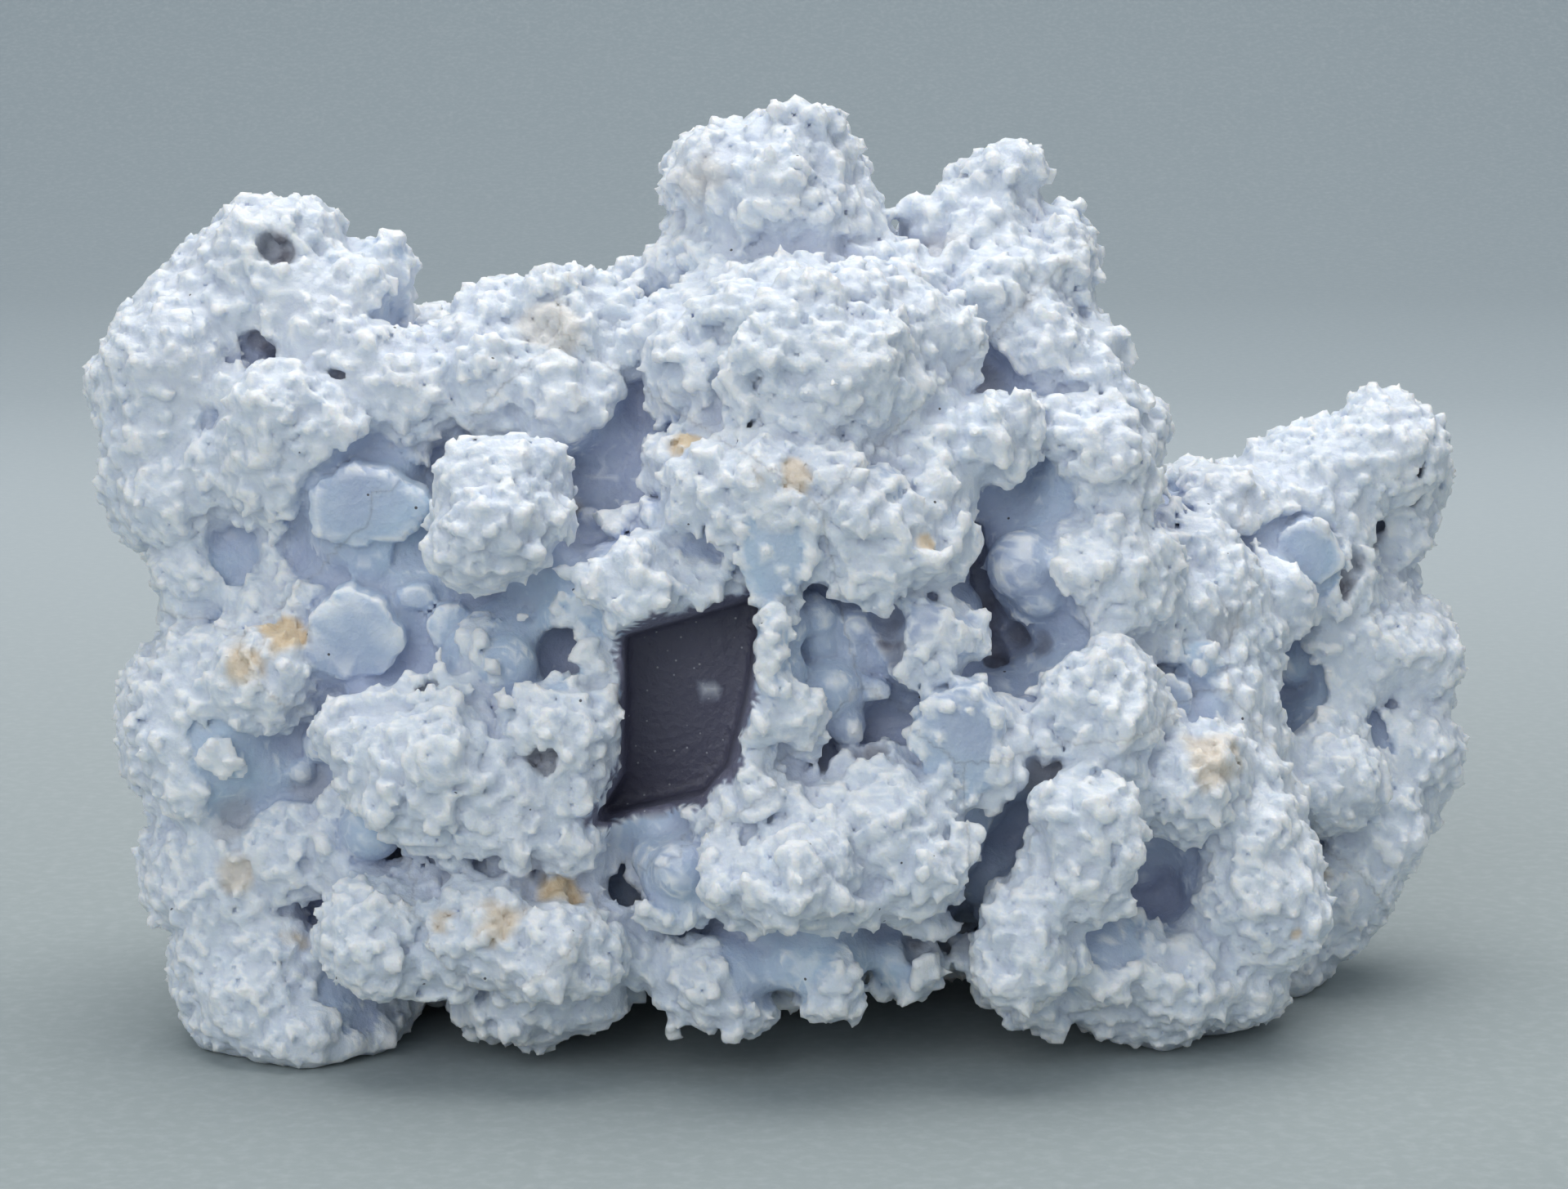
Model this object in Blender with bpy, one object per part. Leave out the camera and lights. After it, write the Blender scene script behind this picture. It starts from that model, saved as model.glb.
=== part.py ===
"""Blue chalcedony with calcite: one natural specimen, grown together as one piece.

The stone is a pile of rounded lumps, ledges and towers, with sharp-edged pockets left by calcite
crystals that have gone. Lumps and hollows are listed by hand, in millimetres, as they are seen from
the front. The far side is listed in plain world coordinates. The result is in metres, +Z up, with
the front towards -Y and the origin in the middle of the foot print.
"""
import math
from collections import namedtuple

import bmesh
import bpy
from mathutils import Euler, Matrix, Vector

# Driving dimensions, in millimetres and degrees
MILLIMETRE = 0.001
VIEW_DISTANCE = 200.0
VIEW_ELEVATION = 10.0
VIEW_ACROSS = 0.4
VIEW_UP = 20.5
VIEW_HEIGHT = 21.2
STONE_MIDDLE = Vector((0.7, 2.0, 0.0))
SKIN_VOXEL = 0.55
SWELL_SIZE = 7.0
SWELL_HEIGHT = 1.6
KNOB_SIZE = 2.6
KNOB_HEIGHT = 1.5
TRIANGLE_SHARE = 0.086
FLOOR_CUT_DEPTH = 12.0
FLOOR_CUT_WIDTH = 120.0

Lump = namedtuple("Lump", "across up back half_width half_depth half_height lean", defaults=(0,))
Block = namedtuple("Block", "x y z half_width half_depth half_height")
Pocket = namedtuple("Pocket", "mouth mouth_back floor floor_back")

LEFT_TOWER = [
    Lump(-24.5, 34.0, 2.0, 5.0, 4.6, 5.6),
    Lump(-20.8, 34.0, 2.0, 3.0, 3.4, 3.0),
    Lump(-19.3, 36.3, 2.2, 1.1, 1.3, 1.2),
    Lump(-23.0, 34.2, -1.2, 3.1, 2.4, 2.5),
]
LEFT_LOBE = [
    Lump(-28.8, 31.0, 1.0, 4.2, 5.0, 4.4),
    Lump(-29.2, 26.4, 0.0, 3.2, 5.0, 3.2),
    Lump(-27.4, 22.4, 0.5, 2.7, 4.5, 3.2),
    Lump(-27.0, 13.8, -2.5, 4.7, 6.0, 5.0),
    Lump(-26.9, 7.6, -2.5, 3.5, 5.5, 4.6),
    Lump(-25.4, 2.8, -3.5, 3.8, 5.5, 4.5),
    Lump(-22.4, 0.3, -5.2, 4.0, 4.8, 3.4),
    Lump(-24.6, 16.8, -6.0, 3.0, 3.2, 2.0),
    Lump(-24.6, 20.6, -3.0, 1.6, 2.6, 2.6),
    Lump(-23.6, 8.2, -6.0, 2.2, 2.6, 2.6),
]
LEFT_RIDGE = [
    Lump(-23.3, 28.2, -2.8, 4.2, 4.2, 3.8),
    Lump(-20.0, 24.6, -3.2, 3.2, 3.8, 3.2),
    Lump(-20.6, 18.2, -5.7, 2.7, 3.2, 2.7),
    Lump(-19.5, 29.8, -1.5, 4.0, 4.0, 3.2),
    Lump(-14.5, 30.8, -0.5, 3.8, 4.0, 3.0),
    Lump(-13.0, 34.1, 0.0, 1.4, 1.4, 1.4),
    Lump(-9.4, 33.3, -0.5, 3.4, 3.6, 3.0),
    Lump(-10.5, 29.6, -2.0, 3.2, 3.4, 2.8),
]
MIDDLE_LEFT = [
    Lump(-13.6, 24.2, -8.4, 3.2, 4.6, 3.2),
    Lump(-15.8, 12.2, -8.6, 5.0, 5.8, 4.2),
    Lump(-10.4, 13.8, -8.6, 2.7, 4.8, 3.0),
    Lump(-11.0, 9.8, -8.6, 2.2, 4.4, 2.4),
    Lump(-13.6, 17.4, -6.6, 3.2, 3.6, 2.6),
    Lump(-19.2, 13.4, -8.9, 2.1, 3.2, 2.1),
    Lump(-20.2, 8.8, -6.2, 2.2, 3.0, 2.2),
]
LOWER_LEFT_BAND = [
    Lump(-17.6, 4.3, -9.0, 4.5, 5.2, 2.5),
    Lump(-12.0, 4.3, -9.8, 4.6, 5.2, 2.4),
    Lump(-12.0, 1.3, -7.6, 3.4, 4.4, 2.3),
    Lump(-9.0, 3.4, -9.6, 1.9, 3.8, 2.2),
    Lump(-9.0, 1.2, -8.2, 1.5, 3.2, 1.7),
]
CENTRAL_BULGE = [
    Lump(2.2, 31.4, -2.5, 6.2, 6.8, 5.0),
    Lump(-3.0, 32.2, -2.0, 3.4, 5.0, 3.4),
    Lump(6.4, 31.8, -1.5, 3.0, 5.0, 3.4),
    Lump(1.0, 25.0, -6.7, 4.8, 6.0, 3.0),
    Lump(-3.2, 25.4, -6.0, 3.0, 5.0, 2.8),
    Lump(5.5, 23.6, -6.4, 3.4, 5.6, 3.2),
    Lump(7.3, 26.2, -4.7, 2.5, 5.0, 2.6),
    Lump(-6.0, 21.6, -6.6, 3.8, 5.2, 2.5),
    Lump(-9.8, 20.8, -5.6, 3.0, 4.6, 2.5),
    Lump(6.8, 18.6, -6.6, 2.8, 5.0, 2.6),
    Lump(0.4, 17.0, -6.6, 4.6, 6.0, 4.6),
    Lump(-5.0, 15.0, -6.0, 5.0, 6.0, 6.5),
]
LOWER_CENTRE = [
    Lump(0.5, 8.2, -8.8, 5.6, 7.4, 4.2),
    Lump(6.0, 9.4, -7.8, 4.6, 7.2, 4.2),
    Lump(9.2, 12.8, -6.8, 2.6, 6.2, 3.5, 20),
    Lump(-4.0, 7.4, -8.2, 2.8, 6.0, 2.2),
    Lump(-1.2, 12.6, -9.4, 1.6, 4.6, 2.0),
    Lump(-3.5, 3.1, -7.4, 3.6, 5.6, 1.8),
    Lump(1.4, 3.1, -7.6, 4.2, 5.8, 1.9),
    Lump(6.6, 3.4, -6.2, 2.0, 5.0, 1.5),
]
TOP_PEAK = [
    Lump(0.0, 38.8, 4.5, 5.2, 5.0, 4.7),
    Lump(-2.6, 40.8, 4.5, 2.8, 3.5, 2.3),
    Lump(0.2, 35.6, 4.0, 6.4, 5.0, 4.0),
    Lump(1.8, 42.2, 4.0, 1.5, 1.8, 1.5),
]
UPPER_RIGHT_TOWERS = [
    Lump(9.6, 38.0, 6.0, 2.8, 4.0, 2.6),
    Lump(11.2, 40.7, 6.0, 1.1, 1.4, 1.3),
    Lump(12.9, 36.6, 6.0, 2.0, 3.0, 1.8),
    Lump(14.0, 38.1, 6.0, 0.9, 1.2, 0.9),
    Lump(8.0, 38.6, 6.0, 1.7, 2.0, 1.6),
    Lump(10.5, 34.4, 4.0, 4.2, 4.6, 3.8),
    Lump(13.6, 31.4, 2.5, 3.2, 4.6, 3.2),
    Lump(13.0, 34.4, 4.0, 2.3, 3.5, 2.0),
]
RIGHT_BULGE = [
    Lump(15.0, 27.4, 0.0, 4.0, 5.6, 3.6),
    Lump(15.2, 22.0, -1.5, 4.4, 6.0, 3.6),
    Lump(12.6, 22.4, -1.8, 2.6, 5.4, 3.2),
    Lump(9.8, 28.2, -3.0, 2.4, 4.6, 2.6),
]
RIGHT_LOBE = [
    Lump(15.8, 15.0, -6.2, 3.0, 5.6, 3.0),
    Lump(19.8, 12.2, -4.7, 3.4, 5.4, 2.8),
    Lump(12.4, 4.5, -8.6, 2.8, 6.2, 3.2, 35),
    Lump(12.4, 2.3, -8.2, 2.0, 4.4, 1.6),
    Lump(15.0, 8.8, -8.6, 2.4, 6.2, 3.8, 25),
    Lump(19.0, 2.6, -2.8, 4.6, 6.8, 3.5),
    Lump(15.2, 3.2, -5.4, 3.2, 5.6, 2.7),
    Lump(23.2, 6.2, -3.6, 3.1, 5.6, 4.2),
    Lump(22.2, 1.7, -3.0, 2.3, 4.6, 1.8),
    Lump(22.6, 10.1, -3.2, 2.8, 5.2, 2.6),
    Lump(12.8, 12.9, -7.2, 1.8, 3.4, 1.8),
]
FAR_RIGHT_ARM = [
    Lump(23.5, 22.6, 8.0, 4.2, 5.0, 4.2),
    Lump(27.0, 25.4, 10.0, 3.4, 4.2, 3.4),
    Lump(30.2, 27.8, 11.0, 2.3, 3.4, 2.4),
    Lump(21.6, 24.8, 6.0, 2.0, 3.0, 1.8),
    Lump(31.0, 25.8, 12.5, 1.5, 2.8, 2.1),
    Lump(30.0, 23.4, 12.0, 0.9, 2.0, 1.4),
    Lump(28.9, 21.6, 11.0, 1.3, 2.4, 1.2, 40),
    Lump(27.0, 21.4, 8.0, 1.9, 3.4, 2.2),
    Lump(23.2, 20.6, 4.2, 2.8, 3.6, 2.3),
    Lump(29.0, 18.3, 9.5, 3.4, 4.4, 1.9),
    Lump(30.4, 17.2, 10.0, 2.3, 3.8, 3.0),
    Lump(30.8, 13.2, 9.5, 2.2, 4.0, 2.6),
    Lump(26.2, 11.8, 5.2, 3.4, 4.6, 2.4),
    Lump(29.0, 10.0, 8.0, 2.9, 4.6, 2.7),
    Lump(27.0, 6.6, 7.0, 2.4, 4.6, 2.9),
    Lump(24.6, 3.8, 7.0, 2.7, 4.6, 3.2),
    Lump(20.7, 17.6, 1.5, 2.0, 3.4, 2.0),
    Lump(25.0, 15.6, 8.2, 4.4, 4.0, 4.0),
]
CORE = [
    Block(-19.0, 2.0, 16.0, 10.5, 9.5, 15.5),
    Block(0.0, 3.0, 19.0, 15.0, 11.5, 15.5),
    Block(14.0, 4.0, 14.0, 12.0, 10.5, 13.0),
    Block(-2.0, 9.0, 13.0, 20.0, 9.5, 13.5),
    Block(-1.0, 11.5, 3.2, 22.0, 7.4, 5.2),
    Block(0.0, 1.5, 8.8, 15.0, 9.5, 6.2),
]
FAR_SIDE = [
    Block(-20.0, 8.0, 26.0, 8.5, 7.5, 8.0),
    Block(-8.0, 9.0, 27.5, 8.5, 7.5, 7.0),
    Block(6.0, 10.0, 26.0, 9.5, 7.5, 9.0),
    Block(16.0, 10.5, 18.0, 8.5, 7.5, 8.5),
    Block(-21.5, 8.5, 10.0, 7.5, 8.0, 8.5),
    Block(-8.0, 11.5, 8.0, 9.0, 6.8, 7.5),
    Block(8.0, 12.0, 8.0, 9.0, 6.6, 7.5),
    Block(21.0, 9.5, 9.0, 6.0, 6.0, 7.0),
    Block(-14.0, 15.0, 20.0, 4.6, 3.8, 4.6),
    Block(-2.5, 15.8, 17.5, 5.6, 3.8, 5.2),
    Block(9.0, 15.8, 22.0, 4.6, 3.4, 4.6),
    Block(17.5, 15.6, 13.5, 3.8, 3.6, 3.8),
    Block(-24.0, 11.5, 18.5, 4.0, 4.0, 4.0),
    Block(-17.0, 15.2, 8.5, 4.6, 3.6, 4.2),
    Block(2.0, 17.0, 8.5, 4.4, 2.8, 3.8),
    Block(12.0, 16.4, 6.0, 3.8, 3.4, 3.6),
    Block(-5.0, 9.5, 33.0, 4.2, 4.0, 3.4),
    Block(7.5, 9.5, 34.5, 3.8, 4.0, 3.4),
    Block(-16.0, 8.5, 29.6, 3.6, 3.8, 3.0),
    Block(-27.5, 6.0, 24.0, 3.4, 4.0, 4.0),
]

# The sharp-edged moulds of calcite crystals: the corners of the mouth and of the far wall as seen
CALCITE_MOULD = Pocket(
    [(-7.6, 18.6), (-0.3, 20.7), (-0.8, 16.8), (-1.9, 12.3), (-4.0, 10.0), (-9.3, 8.7), (-7.8, 11.5)], -17.0,
    [(-7.2, 18.3), (-0.9, 19.6), (-1.3, 16.8), (-2.4, 12.6), (-4.2, 10.9), (-8.3, 9.9), (-7.4, 11.9)], -5.0)
SECOND_MOULD = Pocket(
    [(0.9, 20.4), (4.7, 20.2), (4.9, 17.4), (2.4, 15.0), (0.5, 13.8), (-0.5, 14.9)], -16.0,
    [(1.2, 20.0), (4.4, 19.8), (4.5, 17.4), (2.3, 15.3), (0.7, 14.4), (0.2, 15.1)], -9.0)
MIDDLE_CREVICE = Pocket(
    [(8.8, 23.9), (10.3, 24.3), (10.4, 21.4), (11.1, 20.2), (13.8, 18.1), (13.4, 17.0), (11.9, 17.7),
     (10.9, 15.7), (10.1, 15.9), (10.0, 18.6), (9.1, 21.5)], -16.0,
    [(9.2, 23.5), (9.9, 23.7), (10.0, 21.2), (10.8, 19.8), (12.8, 18.0), (12.8, 17.7), (11.6, 18.0),
     (10.9, 16.7), (10.4, 16.6), (10.3, 18.8), (9.6, 21.5)], -3.5)
LOWER_CREVICE = Pocket(
    [(12.4, 10.9), (14.0, 11.2), (12.9, 9.4), (11.2, 7.9), (10.3, 5.2), (9.8, 3.2), (8.9, 0.2),
     (8.1, 0.4), (8.0, 2.6), (6.6, 3.3), (7.9, 5.2), (9.7, 7.2), (10.9, 9.5)], -19.0,
    [(12.6, 10.5), (13.4, 10.7), (12.5, 9.4), (10.9, 8.0), (10.0, 5.6), (9.5, 3.4), (8.7, 1.0),
     (8.3, 1.0), (8.2, 2.9), (7.4, 3.6), (8.5, 5.3), (10.1, 7.2), (11.3, 9.2)], -6.5)
ARM_WINDOW = Pocket(
    [(28.4, 22.5), (28.9, 22.1), (29.6, 22.4), (29.7, 23.1), (29.1, 23.4), (28.5, 23.2)], 2.0,
    [(28.4, 22.5), (28.9, 22.1), (29.6, 22.4), (29.7, 23.1), (29.1, 23.4), (28.5, 23.2)], 19.0)

# Rounded hollows: recesses below ledges and the spaces between lumps
HOLLOWS = [
    Lump(-23.6, 31.3, -3.2, 2.6, 2.8, 0.7),
    Lump(-9.6, 17.7, -12.0, 1.3, 3.0, 1.1),
    Lump(-23.2, 12.6, -9.8, 1.6, 3.0, 1.7),
    Lump(-15.4, 7.1, -13.0, 2.8, 4.0, 0.9),
    Lump(-18.6, 21.6, -8.4, 2.6, 3.0, 0.9),
    Lump(4.8, 27.9, -10.2, 3.8, 4.2, 0.9),
    Lump(5.0, 25.6, -13.2, 1.5, 2.6, 1.3),
    Lump(-3.4, 23.6, -12.2, 1.0, 2.2, 1.1),
    Lump(5.4, 19.0, -12.0, 0.8, 3.0, 1.3),
    Lump(3.4, 13.0, -14.2, 1.6, 2.6, 0.7),
    Lump(18.3, 7.5, -11.6, 1.5, 5.2, 3.2),
    Lump(15.6, 3.6, -13.0, 1.9, 3.4, 1.2, 45),
    Lump(18.7, 17.4, -3.4, 1.5, 3.6, 1.2),
    Lump(24.8, 15.8, 3.2, 2.6, 3.6, 2.7),
    Lump(12.0, 26.2, -5.6, 1.9, 2.4, 1.3),
    Lump(10.6, 31.4, -2.4, 1.5, 3.0, 1.6),
    Lump(30.0, 24.6, 7.6, 0.8, 3.0, 1.8, 35),
    Lump(28.4, 18.4, 5.4, 0.5, 2.0, 0.8),
]

# Calcite moulds on the far side, flat-walled and each turned its own way, in degrees
FAR_MOULDS = [
    (Block(-8.5, 18.5, 13.5, 3.6, 3.0, 2.0), (15, 12, 30)),
    (Block(4.5, 17.0, 28.5, 2.2, 4.2, 3.4), (-30, 20, 15)),
    (Block(-22.0, 14.5, 27.5, 3.0, 3.6, 1.8), (-20, -28, -30)),
    (Block(19.0, 16.5, 21.5, 1.6, 4.0, 3.2), (20, 35, 10)),
]


def seen_at(across, up, back):
    """The place of the point seen at (across, up) in the front view, at the depth back, and how
    much larger things there are than they look in the plane of the picture."""
    elevation = math.radians(VIEW_ELEVATION)
    forward = Vector((0, math.cos(elevation), -math.sin(elevation)))
    upward = Vector((0, math.sin(elevation), math.cos(elevation)))
    eye = Vector((VIEW_ACROSS, 0, VIEW_HEIGHT)) - forward * VIEW_DISTANCE
    ray = forward * VIEW_DISTANCE + Vector((across - VIEW_ACROSS, 0, 0)) + upward * (up - VIEW_UP)
    reach = (back - eye.y) / ray.y
    return eye + ray * reach, reach


def in_metres(place):
    """A place in the part's own frame, in metres, from one measured in millimetres."""
    return (place - STONE_MIDDLE) * MILLIMETRE


def add_ellipsoid(mesh, place, half_sizes, lean=0):
    """One rounded lump: an icosphere stretched to its half sizes, leaning in the front view."""
    stretch = Matrix.Diagonal((*half_sizes, 1)) * MILLIMETRE
    stretch[3][3] = 1
    turn = Euler((0, math.radians(lean), 0)).to_matrix().to_4x4()
    where = Matrix.Translation(in_metres(place))
    bmesh.ops.create_icosphere(mesh, subdivisions=3, radius=1, matrix=where @ turn @ stretch)


def add_lumps(mesh, lumps):
    for lump in lumps:
        place, scale = seen_at(lump.across, lump.up, lump.back)
        half_sizes = Vector((lump.half_width, lump.half_depth, lump.half_height)) * scale
        add_ellipsoid(mesh, place, half_sizes, lump.lean)


def add_blocks(mesh, blocks):
    for block in blocks:
        half_sizes = (block.half_width, block.half_depth, block.half_height)
        add_ellipsoid(mesh, Vector((block.x, block.y, block.z)), half_sizes)


def add_turned_boxes(mesh, moulds):
    for block, degrees in moulds:
        sizes = (block.half_width * 2, block.half_depth * 2, block.half_height * 2)
        stretch = Matrix.Diagonal((*(size * MILLIMETRE for size in sizes), 1))
        turn = Euler([math.radians(angle) for angle in degrees]).to_matrix().to_4x4()
        where = Matrix.Translation(in_metres(Vector((block.x, block.y, block.z))))
        bmesh.ops.create_cube(mesh, size=1, matrix=where @ turn @ stretch)


def add_pocket(mesh, pocket):
    """A flat-walled prism between the mouth's corners and the far wall's corners."""
    mouth = [mesh.verts.new(in_metres(seen_at(*corner, pocket.mouth_back)[0])) for corner in pocket.mouth]
    floor = [mesh.verts.new(in_metres(seen_at(*corner, pocket.floor_back)[0])) for corner in pocket.floor]
    mesh.faces.new(mouth)
    mesh.faces.new(floor[::-1])
    for here in range(len(mouth)):
        after = (here + 1) % len(mouth)
        mesh.faces.new((mouth[after], mouth[here], floor[here], floor[after]))
    bmesh.ops.recalc_face_normals(mesh, faces=mesh.faces)


def object_from(name, fill, items):
    """A new object whose mesh one of the add_ functions fills."""
    mesh = bmesh.new()
    fill(mesh, items)
    data = bpy.data.meshes.new(name)
    mesh.to_mesh(data)
    mesh.free()
    thing = bpy.data.objects.new(name, data)
    bpy.context.collection.objects.link(thing)
    return thing


def hide_cutter(cutter):
    cutter.hide_render = True
    cutter.display_type = "WIRE"


def cut_away(stone, cutter):
    hide_cutter(cutter)
    cut = stone.modifiers.new(cutter.name, "BOOLEAN")
    cut.operation = "DIFFERENCE"
    cut.object = cutter


def grow_skin(stone, name):
    """Joins everything that overlaps in one closed skin."""
    skin = stone.modifiers.new(name, "REMESH")
    skin.mode = "VOXEL"
    skin.voxel_size = SKIN_VOXEL * MILLIMETRE


def roughen(stone, name, kind, size, height):
    """Raises bumps of about one size, outwards and inwards of the skin by half their height."""
    texture = bpy.data.textures.new(name, kind)
    texture.noise_scale = size * MILLIMETRE
    bumps = stone.modifiers.new(name, "DISPLACE")
    bumps.texture = texture
    bumps.texture_coords = "LOCAL"
    bumps.strength = height * MILLIMETRE
    bumps.mid_level = 0.5


def thin_out(stone):
    """Merges small triangles until only a share of them is left, fewest where the skin is flat."""
    fewer = stone.modifiers.new("thin_out", "DECIMATE")
    fewer.ratio = TRIANGLE_SHARE
    fewer.use_collapse_triangulate = True


def floor_cutter():
    """A plain box below the foot print."""
    mesh = bmesh.new()
    size = Matrix.Diagonal((FLOOR_CUT_WIDTH, FLOOR_CUT_WIDTH, FLOOR_CUT_DEPTH, 1 / MILLIMETRE)) * MILLIMETRE
    where = Matrix.Translation((0, 0, -FLOOR_CUT_DEPTH * MILLIMETRE / 2))
    bmesh.ops.create_cube(mesh, size=1, matrix=where @ size)
    data = bpy.data.meshes.new("floor_cutter")
    mesh.to_mesh(data)
    mesh.free()
    cutter = bpy.data.objects.new("floor_cutter", data)
    bpy.context.collection.objects.link(cutter)
    return cutter


def chalcedony():
    colour = bpy.data.materials.new("chalcedony")
    colour.use_nodes = True
    shader = colour.node_tree.nodes["Principled BSDF"]
    shader.inputs["Base Color"].default_value = (0.62, 0.68, 0.78, 1)
    shader.inputs["Roughness"].default_value = 0.5
    shader.inputs["Metallic"].default_value = 0
    return colour


def add_all_growth(mesh, regions):
    for region in regions:
        add_lumps(mesh, region)
    add_blocks(mesh, CORE)
    add_blocks(mesh, FAR_SIDE)


def build_stone():
    regions = [LEFT_TOWER, LEFT_LOBE, LEFT_RIDGE, MIDDLE_LEFT, LOWER_LEFT_BAND, CENTRAL_BULGE, LOWER_CENTRE,
               TOP_PEAK, UPPER_RIGHT_TOWERS, RIGHT_BULGE, RIGHT_LOBE, FAR_RIGHT_ARM]
    stone = object_from("chalcedony_specimen", add_all_growth, regions)
    stone.data.materials.append(chalcedony())
    grow_skin(stone, "first_skin")
    roughen(stone, "swells", "CLOUDS", SWELL_SIZE, SWELL_HEIGHT)
    roughen(stone, "knobs", "VORONOI", KNOB_SIZE, KNOB_HEIGHT)
    grow_skin(stone, "second_skin")
    cut_away(stone, object_from("hollows", add_lumps, HOLLOWS))
    thin_out(stone)
    for name, pocket in [("calcite_mould", CALCITE_MOULD), ("second_mould", SECOND_MOULD),
                         ("middle_crevice", MIDDLE_CREVICE), ("lower_crevice", LOWER_CREVICE),
                         ("arm_window", ARM_WINDOW)]:
        cut_away(stone, object_from(name, add_pocket, pocket))
    cut_away(stone, object_from("far_moulds", add_turned_boxes, FAR_MOULDS))
    cut_away(stone, floor_cutter())
    return stone


for leftover in list(bpy.data.objects):
    bpy.data.objects.remove(leftover)
build_stone()
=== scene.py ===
"""Blue chalcedony with calcite: the looks of the stone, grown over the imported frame.

The frame's solid becomes a field of signed distances. Rounded lumps are added to it, the moulds
that calcite crystals left are cut sharp again, and a white crust of tilted plates and grains is laid
on top. The field is then meshed and split into a few pieces. Lengths are in millimetres in the field
and in metres in Blender.
"""
import math
from collections import namedtuple

import bpy
import numpy as np
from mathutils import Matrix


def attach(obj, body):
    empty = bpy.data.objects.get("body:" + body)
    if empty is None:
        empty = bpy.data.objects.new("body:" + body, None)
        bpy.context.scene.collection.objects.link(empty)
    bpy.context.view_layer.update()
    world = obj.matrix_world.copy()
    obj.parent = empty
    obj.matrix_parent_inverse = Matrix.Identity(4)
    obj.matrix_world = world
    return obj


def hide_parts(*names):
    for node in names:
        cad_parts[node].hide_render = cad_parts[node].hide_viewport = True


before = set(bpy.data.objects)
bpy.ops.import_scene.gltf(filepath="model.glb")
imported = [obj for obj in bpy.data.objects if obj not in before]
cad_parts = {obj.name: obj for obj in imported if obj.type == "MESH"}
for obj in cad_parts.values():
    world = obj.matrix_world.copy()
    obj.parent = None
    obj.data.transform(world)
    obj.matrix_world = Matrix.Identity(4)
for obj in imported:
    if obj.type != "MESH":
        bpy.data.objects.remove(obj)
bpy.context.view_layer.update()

import openvdb
from mathutils import Vector
from mathutils.bvhtree import BVHTree

# The frame's node, and the millimetres in a metre
NODE = "chalcedony_specimen"
METRE = 1000.0

Mark = namedtuple("Mark", "across up radius weight")
Ball = namedtuple("Ball", "across up radius rise")
Disc = namedtuple("Disc", "across up width height thick")
Pit = namedtuple("Pit", "across up radius")
Prism = namedtuple("Prism", "mouth mouth_back floor floor_back")
Plates = namedtuple("Plates", "width seed lift step tilt")
Seed = namedtuple("Seed", "name x y z")

# What a place of the field is made of
KIND_SKIN = 0
KIND_PLATE = 1
KIND_GRAIN = 2
KIND_MOULD = 3
KIND_KNOB = 4

# The front view: what it shows of the stone is given across and up, in millimetres
VIEW_DISTANCE = 200.0
VIEW_ELEVATION = 10.0
VIEW_ACROSS = 0.4
VIEW_UP = 20.5
VIEW_HEIGHT = 21.2
VIEW_WIDTH = 76.76
MISSED_DEPTH = 4.0
STONE_MIDDLE = np.array((0.7, 2.0, 0.0))

# The field: its cells, how far from the skin it knows distances, the room around the stone, the
# first smoothing, how much the mesh is thinned on flat parts, and the lowest height of the foot
VOXEL = 0.24
BAND = 2.4
MARGIN = 1.6
SKIN_BLUR = 0.45
SKIN_ADAPTIVITY = 0.08
FOOT_HEIGHT = 0.02
BLUR_REACH = 2.2
NOISE_TABLE = 4096
NOISE_PRIMES = (73856093, 19349663, 83492791)

# Lumps under the crust. A rise is the share of a radius that stands out of the skin, and a seam is
# the width of the soft join around a lump or a ball.
LUMP_SPACING = 2.8
LUMP_RADII = (0.9, 2.2)
LUMP_RISE = 0.2
LUMP_SEAM = 0.35
BALL_SEAM = 0.15

# The crust: broad and small tilted plates, fine ones on top, and a low relief on the bare blue.
# Plates lift the skin by their lift, give or take half a step, and their tops slope by their tilt.
BROAD_PLATES = Plates(2.6, 31, 0.65, 0.7, 0.25)
SMALL_PLATES = Plates(1.35, 32, 0.19, 0.38, 0.15)
FINE_WIDTH = 0.6
FINE_SEED = 33
FINE_STEP = 0.12
FINE_TILT = 0.1
BARE_STEP = 0.14
BARE_LIFT = 0.3
PLATE_TABLE = 8192
PLATE_PRIMES = (7919, 104729, 15485863)
PLATE_JITTER = 0.42
# The skin sinks by the base before the plates lift it, so that the crust ends near the frame
CRUST_BASE = 0.6
CRUST_REACH = 1.9
CRUST_EDGE = 5
CRUST_BLUR = 0.13
WARP_WAVELENGTH = 0.7
WARP_SEED = 21
WARP_AMOUNT = 0.2

# How much crust lies where: from the form of the stone, from noise, and from the marks
FORM_BLUR = 1.6
FORM_SHARE = 0.9
COVER_LEVEL = 0.1
COVER_NOISES = [(3.4, 11, 0.30), (1.2, 12, 0.10)]
MARK_EDGE = 1.2
MARK_STEEPNESS = 2.5
MARK_SHARE = 0.8

# Towards both ends of the stone the crust is smoother and fuller
SOFT_MIDDLE = -1.0
SOFT_START = 16.0
SOFT_WIDTH = 6.0
SOFT_RELIEF = 0.6
SOFT_COVER = 0.3

# Grains of crystal on the crust
GRAIN_SPACING = 0.7
GRAIN_RADII = (0.22, 0.4)
GRAIN_LIFTS = (-0.1, 0.1)
GRAIN_HEIGHT = 1.7
GRAIN_TILT = 0.9
GRAIN_SIDES = (4, 6)
GRAIN_CHANCE = (-1.4, 0.3)
GRAIN_LOWEST = 0.6
GRAIN_SKEW = 0.3
GRAIN_TURN = 6.3
GRAIN_LEANS = (-0.25, 0.45)
GRAIN_SLANT = 0.22
GRAIN_SHARES = (0.72, 1.12)
SIDEWAYS_LENGTH = 1.7
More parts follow.
